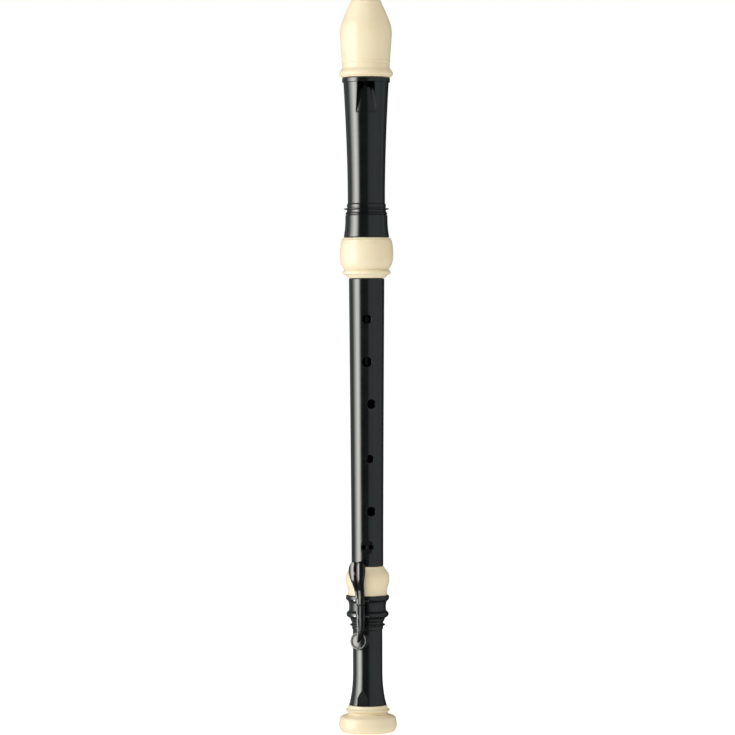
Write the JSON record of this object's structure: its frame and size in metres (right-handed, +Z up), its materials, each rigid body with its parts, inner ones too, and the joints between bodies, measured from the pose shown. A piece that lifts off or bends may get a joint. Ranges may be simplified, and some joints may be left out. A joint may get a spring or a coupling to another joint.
{
  "type": "tenor recorder",
  "caption": "Three-section moulded tenor recorder: beak with windway, window and ramp, finger holes, ivory rings, foot bell and an open-standing two-lever key",
  "frame": {"origin": "middle of the foot bell's flat underside, where the bore's axis meets the surface that it stands on", "axes": "+Z runs up the bore to the beak; the finger holes and the window face -Y; +X is to the right of someone who faces the finger holes; the key is on the -X side of the front"},
  "size_m": [0.0514, 0.0532, 0.6466],
  "materials": {
    "black_abs": "polished black moulding",
    "ivory_abs": "satin ivory moulding",
    "black_key": "polished black key",
    "steel": "ground pin",
    "spring_steel": "blued strip",
    "cork": "cut cork",
    "pad_skin": "skin over felt"
  },
  "bodies": {
    "foot": {"foot_tube": "black_abs", "foot_socket_ring": "ivory_abs", "foot_bell": "ivory_abs", "touch_axle": "steel", "pad_axle": "steel", "rest_cork": "cork"},
    "middle": {"middle_tube": "black_abs"},
    "head": {"head_tube": "black_abs", "beak": "ivory_abs", "block": "ivory_abs", "head_socket_ring": "ivory_abs"},
    "touch_key": {"touch_lever": "black_key", "lever_cork": "cork", "touch_spring": "spring_steel", "touch_spring_rivet": "steel"},
    "pad_key": {"pad_lever": "black_key", "key_pad": "pad_skin", "pad_spring": "spring_steel", "pad_spring_rivet": "steel"}
  },
  "joints": [
    {"name": "middle_twist", "type": "hinge", "parent": "foot", "child": "middle", "pos_m": [0, 0, 0.147], "axis": [0, 0, 1], "continuous": true},
    {"name": "head_pull", "type": "slide", "parent": "middle", "child": "head", "axis": [0, 0, 1], "range_m": [0, 0.035]},
    {"name": "touch_press", "type": "hinge", "parent": "foot", "child": "touch_key", "pos_m": [-0.00553, -0.01607, 0.1175], "axis": [-0.9455, 0.3256, 0], "range_deg": [0, 6], "stiffness_Nm_per_rad": 0.05, "springref_deg": -11.46, "deforming": ["touch_spring"]},
    {"name": "pad_close", "type": "hinge", "parent": "foot", "child": "pad_key", "pos_m": [-0.00547, -0.01588, 0.1036], "axis": [-0.9455, 0.3256, 0], "range_deg": [-6, 0], "stiffness_Nm_per_rad": 0.05, "springref_deg": 11.46, "deforming": ["pad_spring"]}
  ],
  "couplings": [
    {"joint": "pad_close", "follows": "touch_press", "ratio": -1}
  ]
}
